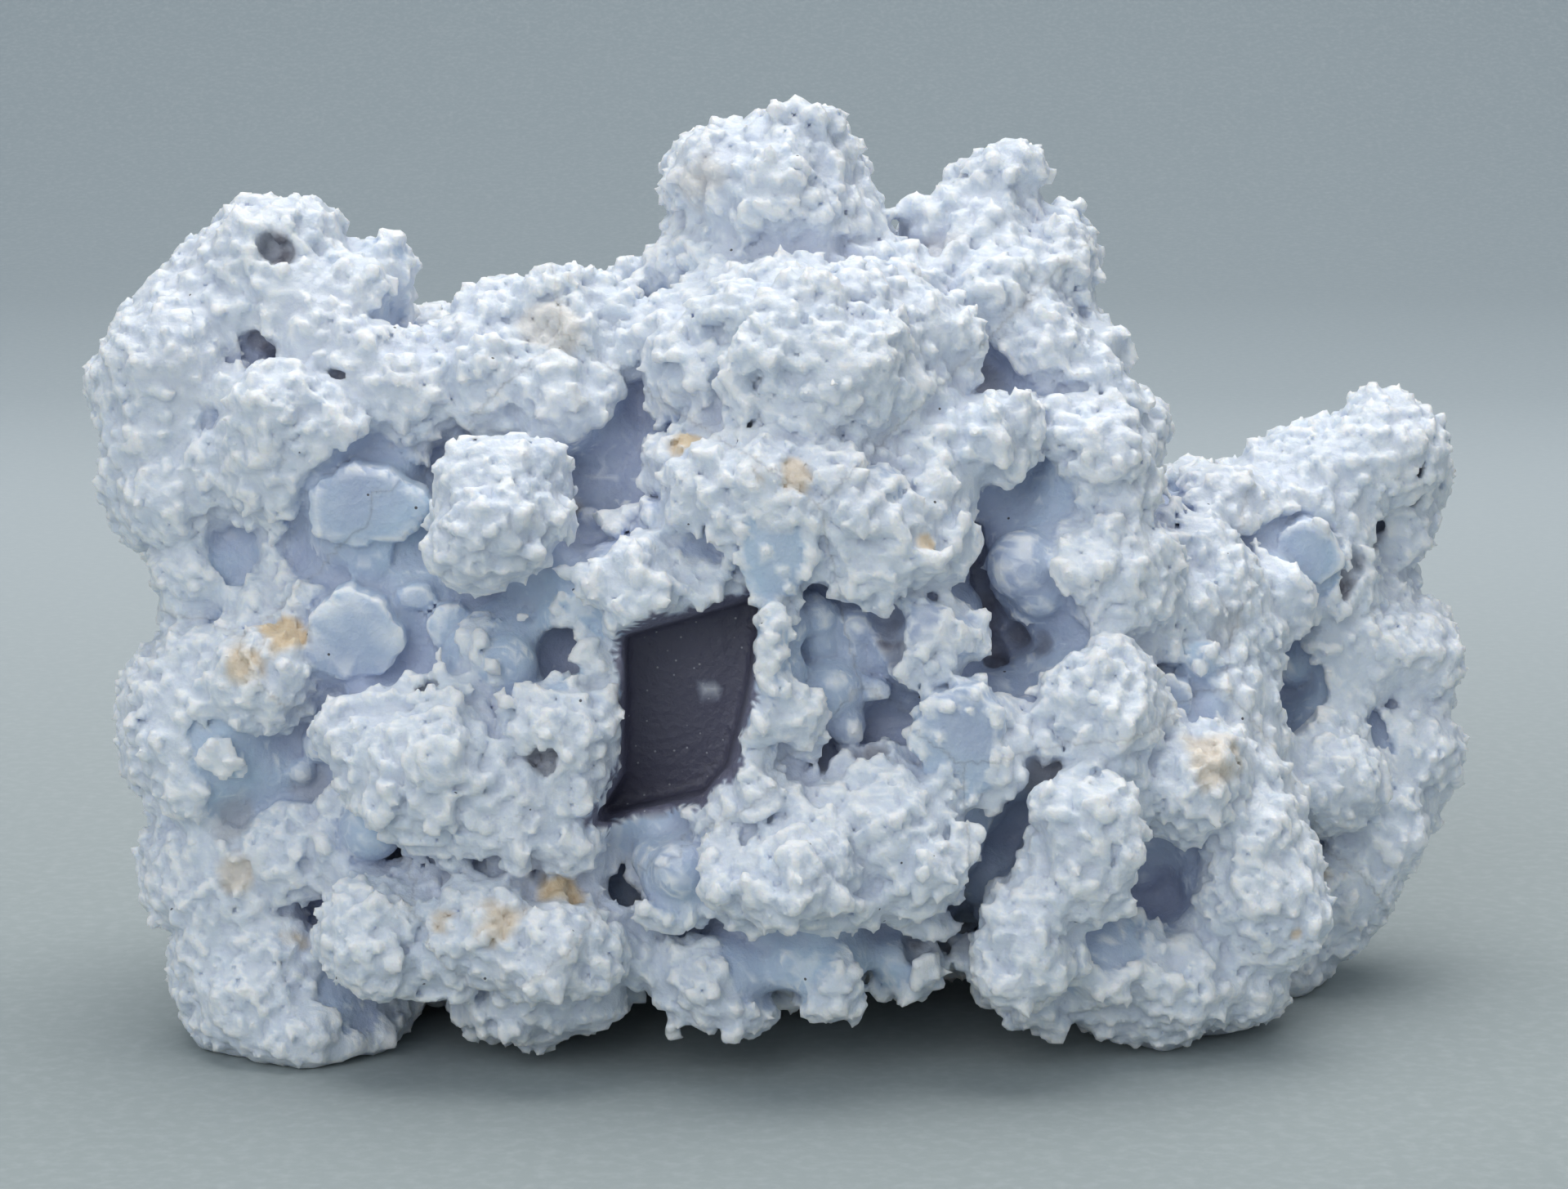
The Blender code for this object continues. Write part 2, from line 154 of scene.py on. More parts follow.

# The walls of the moulds: how far their painted shade reaches, and how ragged they are
MOULD_MARGIN = 0.25
MOULD_SHADE_REACH = 0.45
MOULD_INSET = 0.12
MOULD_ROUGHNESS = 0.2
MOULD_WAVELENGTH = 0.45
MOULD_SEED = 41

# Discs: the waves of their rims as a count and a height, the dome of the face and how deep they go
DISC_WAVES = [(3, 0.07), (7, 0.05), (17, 0.03)]
DISC_DOME = 0.35
DISC_DEPTH = 2.0

# Pits, the painted shade around them, and the ragged edges of that shade and of the stains
PIT_LIFT = 0.4
PIT_SIZE = 1.5
PIT_SHADE_SIZE = 1.6
PIT_SHADE = 0.7
STAIN_WAVELENGTH = 1.3
STAIN_STEEPNESS = 3

# How widely the field is smoothed to tell rims from creases, and bulges from hollows
RIM_CLIP = 1.2
RIM_BLUR = 0.4
BULGE_BLUR = 1.7

# Colours of the stone, and of the painted shade, highlights and glints on it
DEEP_BLUE = (0.46, 0.53, 0.69)
SKY_BLUE = (0.54, 0.67, 0.80)
PALE_BLUE = (0.70, 0.78, 0.88)
DULL_FROST = (0.70, 0.765, 0.84)
BRIGHT_FROST = (0.84, 0.875, 0.915)
PAINTED_HOLLOW_SHADE = (0.40, 0.42, 0.58)
PAINTED_CREASE_SHADE = (0.56, 0.62, 0.76)
RIM_FROST_AND_HIGHLIGHT = (0.97, 0.98, 0.99)
PAINTED_MOULD_SHADE = (0.17, 0.165, 0.235)
OCHRE = (0.74, 0.55, 0.30)
BROWN = (0.34, 0.31, 0.29)
PAINTED_PIT_SHADE = (0.13, 0.12, 0.15)
SPECK_BLACK = (0.05, 0.045, 0.05)
GLINT_WHITE = (0.90, 0.92, 0.95)

# The floor and the backdrop, in metres: a flat part, a quarter circle and a wall
FLOOR_FRONT = -1.2
FLOOR_BACK = 0.35
FLOOR_BEND = 0.25
FLOOR_TOP = 1.2
FLOOR_SIDE = 1.5
FLOOR_PATCH = (0.56, 0.60, 0.61)
# Painted light on the floor: darker in front, a lighter band behind the stone, darker towards the wall
FLOOR_PAINTED_LIGHT = [
    (0.0, (0.33, 0.375, 0.375)), (0.14, (0.37, 0.415, 0.42)), (0.3, (0.50, 0.555, 0.58)),
    (0.42, (0.40, 0.455, 0.485)), (1.0, (0.27, 0.325, 0.355)),
]
LIGHT_AIM = (0, 0, 0.02)

# The skin is split where it comes nearest to each of these places
SEEDS = [
    Seed("left_tower", -24.0, 0.0, 33.0), Seed("left_lobes", -26.0, 0.0, 8.0),
    Seed("middle_left", -11.0, -4.0, 20.0), Seed("top_peak", 2.0, 0.0, 38.0),
    Seed("centre_low", 0.0, -2.0, 6.0), Seed("right_bulge", 14.0, -2.0, 26.0),
    Seed("right_lobe", 17.0, -2.0, 7.0), Seed("far_arm", 28.0, 3.0, 18.0),
]

# Where the white crust covers the stone (positive) and where smooth blue shows (negative)
CRUST_MARKS = [
    Mark(-13.5, 24.2, 3.4, 1.0), Mark(-15.5, 12.0, 5.4, 1.0), Mark(-10.3, 13.4, 3.2, 1.0),
    Mark(-18.0, 4.4, 4.6, 1.0), Mark(-11.5, 4.3, 4.4, 1.0), Mark(1.0, 24.8, 4.6, 1.0),
    Mark(5.5, 23.3, 3.4, 1.0), Mark(-3.5, 26.0, 2.8, 1.0), Mark(2.0, 31.5, 6.4, 0.8),
    Mark(0.0, 39.0, 5.8, 0.7), Mark(10.5, 38.0, 5.0, 1.0), Mark(13.5, 36.5, 3.0, 1.0),
    Mark(16.0, 27.5, 3.6, 1.0), Mark(16.4, 21.5, 3.4, 1.0), Mark(0.8, 9.2, 5.0, 1.0),
    Mark(5.2, 10.8, 3.6, 1.0), Mark(9.2, 15.2, 1.4, 1.0), Mark(16.0, 15.0, 3.4, 1.0),
    Mark(20.0, 12.6, 3.2, 1.0), Mark(12.5, 4.6, 3.4, 1.0), Mark(14.6, 8.6, 3.0, 1.0),
    Mark(23.5, 6.5, 3.0, 1.0), Mark(22.5, 1.5, 2.4, 0.8), Mark(-25.8, 16.6, 2.6, 1.0),
    Mark(-24.4, 20.2, 1.8, 1.0), Mark(-15.0, 30.8, 4.2, 0.8), Mark(-9.3, 33.3, 3.6, 0.8),
    Mark(-23.5, 29.5, 3.2, 0.6), Mark(-26.0, 3.5, 3.8, 0.6), Mark(-24.0, 8.0, 2.2, 0.8),
    Mark(22.5, 20.8, 2.6, 0.6), Mark(28.5, 28.0, 3.6, 0.6), Mark(30.5, 19.6, 2.4, 0.6),
    Mark(-20.2, 24.9, 3.0, -2.0), Mark(-20.7, 18.4, 2.7, -2.0), Mark(-17.8, 21.5, 2.2, -1.5),
    Mark(-22.6, 22.8, 1.8, -1.5), Mark(-16.5, 18.0, 1.8, -1.2), Mark(-13.0, 17.3, 1.6, -1.2),
    Mark(-19.8, 8.9, 1.7, -2.0), Mark(-18.3, 7.3, 1.2, -1.5), Mark(-15.3, 7.2, 1.6, -1.5),
    Mark(-23.0, 12.3, 1.7, -2.0), Mark(-26.8, 12.0, 2.8, -1.0), Mark(-26.5, 22.2, 1.6, -1.0),
    Mark(-8.0, 26.6, 2.6, -2.0), Mark(-7.4, 29.2, 1.6, -1.5), Mark(-9.0, 22.2, 1.5, -1.0),
    Mark(-3.0, 23.5, 1.2, -1.5), Mark(-0.3, 22.3, 1.8, -2.2), Mark(6.5, 15.6, 1.6, -1.5),
    Mark(8.6, 13.0, 2.0, -1.4), Mark(11.5, 21.8, 2.5, -2.2), Mark(12.5, 25.5, 2.3, -1.8),
    Mark(13.3, 20.3, 1.5, -1.8), Mark(14.5, 17.6, 1.6, -1.5), Mark(20.0, 15.5, 1.7, -1.2),
    Mark(24.8, 15.8, 2.7, -2.0), Mark(18.4, 7.3, 2.4, -2.0), Mark(16.4, 4.0, 1.8, -1.5),
    Mark(-6.0, 7.7, 2.2, -2.0), Mark(-4.6, 6.4, 1.8, -2.0), Mark(0.0, 2.4, 2.6, -1.4),
    Mark(5.0, 2.4, 2.0, -1.4), Mark(-17.5, 1.2, 2.0, -1.2), Mark(-21.5, -0.5, 2.6, -0.8),
    Mark(-8.5, 8.2, 1.4, -1.2), Mark(26.0, 22.4, 2.4, -1.2), Mark(2.6, 17.6, 3.4, -2.0),
    Mark(-0.2, 17.4, 1.6, -1.0),
]
# Smooth balls and pearls of blue chalcedony that stand out of recesses
BALLS = [
    Ball(-22.3, 13.2, 0.95, 0.9), Ball(-23.2, 11.9, 0.7, 0.8), Ball(5.0, 25.5, 1.2, 1.0),
    Ball(25.2, 17.0, 1.15, 0.9), Ball(13.3, 13.0, 0.8, 0.9), Ball(-6.0, 27.8, 0.8, 0.7),
    Ball(3.4, 14.0, 1.1, 0.8), Ball(1.9, 19.4, 1.2, 0.7), Ball(2.2, 18.0, 0.9, 0.7),
    Ball(4.0, 18.9, 1.0, 0.7), Ball(3.7, 17.5, 0.8, 0.7), Ball(20.8, 17.3, 1.1, 0.8),
    Ball(-13.5, 17.0, 1.6, 0.5), Ball(-23.5, 7.9, 0.5, 1.0), Ball(-23.5, 6.9, 0.5, 1.0),
    Ball(-24.5, 9.0, 0.45, 1.0), Ball(-19.0, 37.2, 1.0, 0.9), Ball(-9.2, 24.2, 0.7, 0.8),
    Ball(7.4, 19.2, 1.3, 0.6), Ball(8.9, 18.4, 1.1, 0.6), Ball(6.2, 16.9, 0.8, 0.7),
    Ball(-3.3, 15.8, 0.9, 0.2), Ball(12.3, 15.0, 0.9, 0.6), Ball(-10.6, 15.6, 0.9, 0.6),
    Ball(-4.8, 6.9, 1.4, 0.5), Ball(-6.4, 7.7, 1.2, 0.5), Ball(-19.8, 8.9, 1.5, 0.6),
    Ball(11.9, 22.6, 1.7, 0.4), Ball(12.8, 20.2, 1.3, 0.4), Ball(21.4, 14.9, 1.2, 0.5),
]
# Plates of smooth blue that face the front, with pale rims
DISCS = [
    Disc(-20.7, 18.5, 2.3, 2.1, 0.6), Disc(-20.1, 24.8, 2.9, 1.9, 0.45),
    Disc(-19.9, 22.7, 1.1, 1.7, 0.45),
    Disc(4.3, 15.9, 1.3, 0.6, 0.5), Disc(-5.6, 24.4, 1.0, 0.7, 0.5), Disc(-15.8, 19.0, 1.3, 1.0, 0.5),
    Disc(-0.2, 17.4, 0.65, 3.2, 1.4), Disc(-0.1, 22.6, 1.7, 2.3, 0.7), Disc(9.0, 13.4, 2.1, 2.6, 0.6),
    Disc(-17.6, 20.4, 1.0, 0.7, 0.4), Disc(26.0, 22.5, 1.8, 1.6, 0.3), Disc(18.9, 15.3, 1.5, 1.1, 0.4),
]
# Pits, holes and cracks, as rows of places where the surface sinks and painted shade darkens it
PITS = [
    Pit(-24.6, 37.3, 0.65), Pit(-24.1, 37.2, 0.5), Pit(31.2, 26.8, 0.4), Pit(31.0, 26.1, 0.4),
    Pit(30.8, 25.5, 0.45), Pit(30.1, 24.7, 0.45), Pit(29.5, 24.0, 0.5), Pit(29.1, 23.4, 0.55),
    Pit(28.8, 22.8, 0.6), Pit(28.3, 22.0, 0.5), Pit(28.0, 21.3, 0.5), Pit(27.7, 20.7, 0.4),
    Pit(-9.8, 17.8, 1.1), Pit(-9.5, 17.1, 0.8), Pit(-11.3, 12.5, 0.6), Pit(-3.2, 23.6, 0.45),
    Pit(2.9, 21.3, 0.6), Pit(5.6, 19.4, 0.6), Pit(5.5, 18.6, 0.6), Pit(5.5, 17.8, 0.6),
    Pit(2.0, 12.9, 0.6), Pit(4.7, 12.6, 0.6), Pit(6.75, 3.65, 0.5), Pit(-17.0, 15.5, 0.45),
    Pit(7.0, 3.0, 0.6), Pit(8.0, 3.4, 0.7), Pit(9.0, 3.8, 0.7), Pit(-25.4, 32.9, 0.4),
    Pit(-24.8, 32.2, 0.45), Pit(-24.2, 31.6, 0.45), Pit(-23.2, 31.3, 0.45), Pit(-22.2, 31.2, 0.4),
    Pit(-21.4, 31.2, 0.35), Pit(-11.0, 31.7, 0.4), Pit(-10.5, 31.2, 0.4), Pit(9.3, 23.4, 0.6),
    Pit(9.6, 22.4, 0.6), Pit(9.9, 21.4, 0.6), Pit(10.2, 20.3, 0.6), Pit(10.4, 19.2, 0.65),
    Pit(10.6, 18.0, 0.6), Pit(10.8, 17.0, 0.5), Pit(11.8, 18.6, 0.5), Pit(12.9, 18.2, 0.45),
]
# Ochre iron stains, and greyer brown ones in hollows
OCHRE_MARKS = [
    Mark(-24.2, 18.2, 1.5, 1.0), Mark(-26.0, 17.2, 1.4, 0.8), Mark(-17.3, 15.3, 0.8, 0.7),
    Mark(-10.6, 5.9, 1.3, 1.0), Mark(-13.5, 4.4, 1.4, 0.7), Mark(-16.2, 4.3, 0.9, 0.6),
    Mark(-23.6, 3.4, 0.9, 0.9), Mark(-26.3, 6.8, 1.3, 0.5), Mark(-4.3, 27.7, 0.9, 1.0),
    Mark(-1.2, 26.4, 1.0, 0.9), Mark(0.9, 26.1, 1.0, 0.7), Mark(7.2, 22.8, 0.7, 0.9),
    Mark(-10.3, 24.5, 1.0, 0.5), Mark(-5.7, 24.3, 0.7, 0.4), Mark(21.0, 12.3, 1.8, 0.6),
    Mark(26.3, 6.8, 1.0, 0.7), Mark(25.3, 4.1, 0.8, 0.9), Mark(-3.5, 40.6, 1.8, 0.25),
    Mark(-11.0, 33.5, 1.6, 0.3),
]
BROWN_MARKS = [
    Mark(8.3, 37.0, 1.7, 0.6), Mark(10.0, 30.8, 1.6, 0.7), Mark(13.4, 11.5, 1.5, 0.8),
    Mark(12.5, 9.0, 1.4, 0.7), Mark(-8.7, 6.6, 1.2, 0.8), Mark(-6.3, 4.8, 1.2, 0.9),
    Mark(-26.5, 9.4, 1.4, 0.6), Mark(18.6, 17.3, 1.4, 0.8), Mark(-22.9, 11.2, 1.2, 0.5),
    Mark(21.6, 19.2, 1.6, 0.4), Mark(12.2, 34.3, 1.2, 0.4),
]

# The moulds that calcite crystals left: corners of the mouth and of the far wall, as seen
MOULDS = [
    Prism([(-7.6, 18.7), (-0.3, 20.8), (-1.2, 15.0), (-2.1, 11.8), (-7.5, 11.2)], -17.0,
          [(-7.3, 18.4), (-0.9, 19.6), (-1.7, 15.0), (-2.5, 12.0), (-7.2, 11.4)], -5.0),
    Prism([(-7.5, 12.4), (-2.1, 12.2), (-3.8, 10.1), (-9.6, 8.8)], -17.0,
          [(-7.2, 12.4), (-2.5, 12.2), (-4.0, 10.9), (-8.4, 9.8)], -5.0),
]


def view_axes():
    """The eye of the front view, its forward direction and its upward direction."""
    elevation = math.radians(VIEW_ELEVATION)
    forward = np.array((0, math.cos(elevation), -math.sin(elevation)))
    upward = np.array((0, math.sin(elevation), math.cos(elevation)))
    target = np.array((VIEW_ACROSS, 0, VIEW_HEIGHT)) - STONE_MIDDLE
    return target - forward * VIEW_DISTANCE, forward, upward


def ray_to(across, up):
    """The direction of the eye's ray through a point of the front view."""
    eye, forward, upward = view_axes()
    return forward * VIEW_DISTANCE + np.array((across - VIEW_ACROSS, 0, 0)) + upward * (up - VIEW_UP)


def seen_at(across, up, back):
    """The place seen at (across, up), at the depth back behind the middle plane."""
    eye = view_axes()[0]
    ray = ray_to(across, up)
    return eye + ray * ((back - STONE_MIDDLE[1] - eye[1]) / ray[1])


class Surface:
    """The frame's solid, for finding what the eye sees."""

    def __init__(self, node):
        mesh = node.data
        self.points = np.empty(len(mesh.vertices) * 3, np.float32)
        mesh.vertices.foreach_get("co", self.points)
        self.points = self.points.reshape(-1, 3) * METRE
        mesh.calc_loop_triangles()
        self.triangles = np.empty(len(mesh.loop_triangles) * 3, np.int32)
        mesh.loop_triangles.foreach_get("vertices", self.triangles)
        self.triangles = self.triangles.reshape(-1, 3)
        self.tree = BVHTree.FromPolygons(self.points.tolist(), self.triangles.tolist())

    def seen(self, across, up):
        """The first place that the eye's ray meets, in millimetres, and the direction it faces."""
        eye = view_axes()[0]
        place, normal, _, _ = self.tree.ray_cast(Vector(eye), Vector(ray_to(across, up)))
        if place is None:
            return seen_at(across, up, MISSED_DEPTH), -view_axes()[1]
        return np.array(place), np.array(normal)


class Field:
    """Signed distances on a grid, negative inside, with the kind and shade of what grew there."""

    def __init__(self, surface):
        transform = openvdb.createLinearTransform(voxelSize=VOXEL)
        grid = openvdb.FloatGrid.createLevelSetFromPolygons(
            surface.points, triangles=surface.triangles.astype(np.uint32), transform=transform,
            halfWidth=BAND / VOXEL)
        self.low = np.floor((surface.points.min(axis=0) - MARGIN) / VOXEL).astype(int)
        high = np.ceil((surface.points.max(axis=0) + MARGIN) / VOXEL).astype(int)
        self.values = np.zeros(tuple(high - self.low + 1), np.float32)
        grid.copyToArray(self.values, ijk=tuple(int(v) for v in self.low))
        self.kind = np.zeros(self.values.shape, np.uint8)
        self.shade = np.full(self.values.shape, 128, np.uint8)
        self.axes = [((self.low[i] + np.arange(self.values.shape[i])) * VOXEL).astype(np.float32)
                     for i in range(3)]

    def near(self, centre, reach):
        """The part of the grid within reach of a centre: its slices, and offsets from the centre."""
        first = np.floor((centre - reach) / VOXEL).astype(int) - self.low
        last = np.ceil((centre + reach) / VOXEL).astype(int) - self.low + 1
        first = np.maximum(first, 0)
        last = np.minimum(last, self.values.shape)
        part = tuple(slice(a, b) for a, b in zip(first, last))
        x, y, z = (self.axes[i][part[i]] - np.float32(centre[i]) for i in range(3))
        return part, x[:, None, None], y[None, :, None], z[None, None, :]

    def add(self, part, distance, kind, shade):
        """Joins a form to the stone, given its distances in a part of the grid."""
        values = self.values[part]
        nearer = distance < values
        values[nearer] = distance[nearer]
        self.kind[part][nearer] = kind
        self.shade[part][nearer] = shade

    def index(self, places):
        """The grid's nearest points to some places, never on its border."""
        spots = np.rint(places / VOXEL).astype(int) - self.low
        return tuple(np.clip(spots, 1, np.array(self.values.shape) - 2).T)

    def slope(self, places):
        """Directions out of the stone at some places."""
        i, j, k = self.index(places)
        rise = np.stack([self.values[i + 1, j, k] - self.values[i - 1, j, k],
                         self.values[i, j + 1, k] - self.values[i, j - 1, k],
                         self.values[i, j, k + 1] - self.values[i, j, k - 1]], axis=1)
        return rise / np.maximum(np.linalg.norm(rise, axis=1, keepdims=True), 1e-6)

    def skin(self, adaptivity=0.0):
        """A mesh of the field: points in millimetres, triangles and quads."""
        grid = openvdb.FloatGrid(BAND)
        grid.copyFromArray(self.values, ijk=tuple(int(v) for v in self.low))
        grid.transform = openvdb.createLinearTransform(voxelSize=VOXEL)
        return grid.convertToPolygons(isovalue=0.0, adaptivity=adaptivity)


def blurred(values, spread, voxel):
    """A Gaussian blur of a grid, spread in millimetres."""
    reach = max(1, int(round(BLUR_REACH * spread / voxel)))
    weights = np.exp(-0.5 * (np.arange(-reach, reach + 1) * voxel / spread) ** 2)
    weights = (weights / weights.sum()).astype(np.float32)
    for axis in range(3):
        padded = np.pad(values, [(reach, reach) if i == axis else (0, 0) for i in range(3)], mode="edge")
        result = np.zeros_like(values)
        for step, weight in enumerate(weights):
            part = [slice(None)] * 3
            part[axis] = slice(step, step + values.shape[axis])
            result += padded[tuple(part)] * weight
        values = result
    return values


def table_rows(cells, primes, count):
    """A scattered row number below count, a power of two, for each cell of a lattice."""
    mixed = cells[:, 0] * primes[0] ^ cells[:, 1] * primes[1] ^ cells[:, 2] * primes[2]
    return mixed & (count - 1)


def lattice_noise(places, wavelength, seed):
    """Smooth random values from -1 to 1 at some places."""
    rng = np.random.default_rng(seed)
    table = rng.uniform(-1, 1, NOISE_TABLE).astype(np.float32)
    spots = places / wavelength
    base = np.floor(spots).astype(np.int64)
    share = spots - base
    share = share * share * (3 - 2 * share)
    total = np.zeros(len(places), np.float32)
    for corner in range(8):
        step = np.array([(corner >> axis) & 1 for axis in range(3)])
        rows = table_rows(base + step, NOISE_PRIMES, NOISE_TABLE)
        weight = np.prod(np.where(step, share, 1 - share), axis=1)
        total += table[rows] * weight
    return total


def plane_distance(x, y, z, normal, offset):
    """Signed distances from a plane, over a part of the grid."""
    a, b, c = np.asarray(normal, np.float32)
    return x * a + y * b + z * c - np.float32(offset)


def cut_mould(field, prism, ragged=None):
    """Cuts a flat-walled pocket between the mouth's corners and the far wall's corners."""
    mouth = np.array([seen_at(*corner, prism.mouth_back) for corner in prism.mouth])
    floor = np.array([seen_at(*corner, prism.floor_back) for corner in prism.floor])
    middle = (mouth.mean(axis=0) + floor.mean(axis=0)) / 2
    planes = [(end[0], end[1] - end[0], end[2] - end[0]) for end in (mouth, floor)]
    for here in range(len(mouth)):
        after = (here + 1) % len(mouth)
        planes.append((mouth[here], mouth[after] - mouth[here], floor[here] - mouth[here]))
    corners = np.concatenate([mouth, floor])
    reach = np.abs(corners - middle).max(axis=0) + 0.6
    part, x, y, z = field.near(middle, reach)
    inside = None
    for point, one, two in planes:
        normal = np.cross(one, two)
        normal /= np.linalg.norm(normal)
        if np.dot(middle - point, normal) > 0:
            normal = -normal
        distance = plane_distance(x, y, z, normal, np.dot(point - middle, normal))
        inside = distance if inside is None else np.maximum(inside, distance)
    values = field.values[part]
    kinds = field.kind[part]
    if ragged is None:
        kinds[inside < MOULD_MARGIN] = KIND_MOULD
    else:
        inside += ragged[part] * MOULD_ROUGHNESS + MOULD_INSET
        kinds[np.abs(values + inside) < MOULD_SHADE_REACH] = KIND_MOULD
    np.maximum(values, -inside, out=values)


def spread_out(places, spacing, rng):
    """Thins places to about one in each cell of a given spacing."""
    order = rng.permutation(len(places))
    cells = np.floor(places[order] / spacing + rng.uniform(0, 1, 3)).astype(np.int64)
    keys = (cells[:, 0] * 2000003 + cells[:, 1]) * 2000003 + cells[:, 2]
    _, first = np.unique(keys, return_index=True)
    return order[np.sort(first)]


def mark_strength(places, marks, surface, roughness, seed):
    """The sum of the marks' weights at some places, each fading at its own ragged edge."""
    total = np.zeros(len(places), np.float32)
    ragged = lattice_noise(places, STAIN_WAVELENGTH, seed) * roughness
    for mark in marks:
        middle, _ = surface.seen(mark.across, mark.up)
        distance = np.linalg.norm(places - middle, axis=1) / mark.radius + ragged
        total += np.clip((1 - distance) * STAIN_STEEPNESS, 0, 1) * mark.weight
    return total


def frames_on(normals, tilt, rng):
    """A random upright frame on each normal, tilted by up to tilt radians."""
    count = len(normals)
    sideways = rng.normal(size=(count, 3))
    ups = normals + sideways * (np.tan(tilt) * rng.uniform(0, 1, (count, 1)) / SIDEWAYS_LENGTH)
    ups /= np.linalg.norm(ups, axis=1, keepdims=True)
    ones = np.cross(ups, rng.normal(size=(count, 3)))
    ones /= np.linalg.norm(ones, axis=1, keepdims=True)
    return np.stack([ones, np.cross(ups, ones), ups], axis=1)


def grow_knobs(field, places, normals, radii, rise, blend, rng):
    """Rounded lumps, each a ball sunk in the skin, with a soft seam around it."""
    for place, normal, radius in zip(places, normals, radii):
        centre = place - normal * (radius * (1 - rise))
        part, x, y, z = field.near(centre, radius + blend * 2)
        distance = np.sqrt(x * x + y * y + z * z) - np.float32(radius)
        values = field.values[part]
        share = np.clip(0.5 + 0.5 * (values - distance) / blend, 0, 1)
        soft = values * (1 - share) + distance * share - blend * share * (1 - share)
        shade = rng.integers(0, 256)
        nearer = distance < values
        field.kind[part][nearer] = KIND_KNOB
        field.shade[part][nearer] = shade
        values[...] = np.minimum(values, soft)


def grow_grains(field, places, normals, radii, heights, lifts, rng):
    """Flat-faced crystals: a many-sided outline between a slanting top and a base in the skin."""
    frames = frames_on(normals, GRAIN_TILT, rng)
    for place, normal, axes, radius, height, lift in zip(places, normals, frames, radii, heights, lifts):
        count = int(rng.integers(GRAIN_SIDES[0], GRAIN_SIDES[1] + 1))
        turns = np.arange(count) + rng.uniform(-GRAIN_SKEW, GRAIN_SKEW, count)
        turns = turns * (2 * math.pi / count) + rng.uniform(0, GRAIN_TURN)
        lean = rng.uniform(*GRAIN_LEANS, count)
        outline = np.stack([np.cos(turns), np.sin(turns), lean], axis=1)
        top = np.append(rng.normal(0, GRAIN_SLANT, 2), 1.0)[None, :]
        bottom = np.array([[0.0, 0.0, -1.0]])
        planes = np.concatenate([outline, top, bottom])
        planes /= np.linalg.norm(planes, axis=1, keepdims=True)
        limits = np.concatenate([radius * rng.uniform(*GRAIN_SHARES, count), [height / 2, height / 2]])
        centre = place + normal * lift
        part, x, y, z = field.near(centre, radius * 1.25 + 0.25)
        world = (planes @ axes).astype(np.float32)
        distance = None
        for plane, limit in zip(world, limits):
            one = plane_distance(x, y, z, plane, limit)
            distance = one if distance is None else np.maximum(distance, one)
        field.add(part, distance, KIND_GRAIN, rng.integers(0, 256))


def grow_disc(field, place, disc, rng):
    """A plate of smooth blue that faces the front, with an uneven rim and a slightly domed face."""
    part, x, y, z = field.near(place, max(disc.width, disc.height) * 1.3 + 0.4)
    turn = np.arctan2(z, x)
    rim = 1
    for waves, depth in DISC_WAVES:
        rim = rim + depth * np.cos(waves * turn + rng.uniform(0, 6))
    out = np.sqrt((x / disc.width) ** 2 + (z / disc.height) ** 2) / rim
    edge = (out - 1) * min(disc.width, disc.height)
    face = -y - disc.thick * (1 - DISC_DOME * out * out)
    distance = np.maximum(np.maximum(edge, face), y - DISC_DEPTH).astype(np.float32)
    field.add(part, distance, KIND_KNOB, 128)


def carve(field, place, normal, radius):
    """Sinks a rounded pit into the surface."""
    part, x, y, z = field.near(place + normal * radius * PIT_LIFT, radius * 1.8)
    distance = np.sqrt(x * x + y * y + z * z) - np.float32(radius * PIT_SIZE)
    values = field.values[part]
    np.maximum(values, -distance, out=values)


def smooth_noise(field, wavelength, seed):
    """A grid of smooth random values, mostly from -1 to 1."""
    rng = np.random.default_rng(seed)
    steps = [len(axis) * VOXEL / wavelength for axis in field.axes]
    values = rng.uniform(-2, 2, tuple(int(count) + 5 for count in steps)).astype(np.float32)
    for axis, line in enumerate(field.axes):
        spots = np.arange(len(line)) * VOXEL / wavelength
        first = np.floor(spots).astype(int)
        share = spots - first
        weights = np.zeros((len(line), values.shape[axis]), np.float32)
        rows = np.arange(len(line))
        for step, weight in enumerate(((1 - share) ** 3, 3 * share ** 3 - 6 * share ** 2 + 4,
                                       -3 * share ** 3 + 3 * share ** 2 + 3 * share + 1, share ** 3)):
            weights[rows, first + step] = weight / 6
        values = np.moveaxis(np.tensordot(weights, values, axes=(1, axis)), 0, axis)
    return values


def tilted_cells(places, size, seed):
    """A crust of tilted plates. Each place gets its plate's height from 0 to 1, the offset of the
    plate's sloping top there, in millimetres for a tilt of one, and the plate's random shade."""
    rng = np.random.default_rng(seed)
    table = rng.uniform(-1, 1, (PLATE_TABLE, 4)).astype(np.float32)
    spots = places / np.float32(size)
    base = np.floor(spots - 0.5).astype(np.int32)
    nearest = np.full(len(places), 9.0, np.float32)
    height = np.zeros(len(places), np.float32)
    offset = np.zeros(len(places), np.float32)
    shade = np.zeros(len(places), np.float32)
    for corner in range(8):
        cell = base + np.array([(corner >> axis) & 1 for axis in range(3)], np.int32)
        rows = table_rows(cell, PLATE_PRIMES, PLATE_TABLE)
        away = spots - cell - np.float32(0.5) - table[rows, :3] * np.float32(PLATE_JITTER)
        distance = (away * away).sum(axis=1)
        nearer = distance < nearest
        nearest[nearer] = distance[nearer]
        rows = rows[nearer]
        height[nearer] = table[rows, 3] * 0.5 + 0.5
        slope = table[(rows + 77) & (PLATE_TABLE - 1), :3]
        offset[nearer] = (away[nearer] * slope).sum(axis=1) * np.float32(size)
        shade[nearer] = table[(rows + 991) & (PLATE_TABLE - 1), 3] * 0.5 + 0.5
    return height, offset, shade


def softness(x):
    """How far the crust is smoothed towards the two ends of the stone, from 0 to 1."""
    return np.clip((np.abs(x - SOFT_MIDDLE) - SOFT_START) / SOFT_WIDTH, 0, 1)


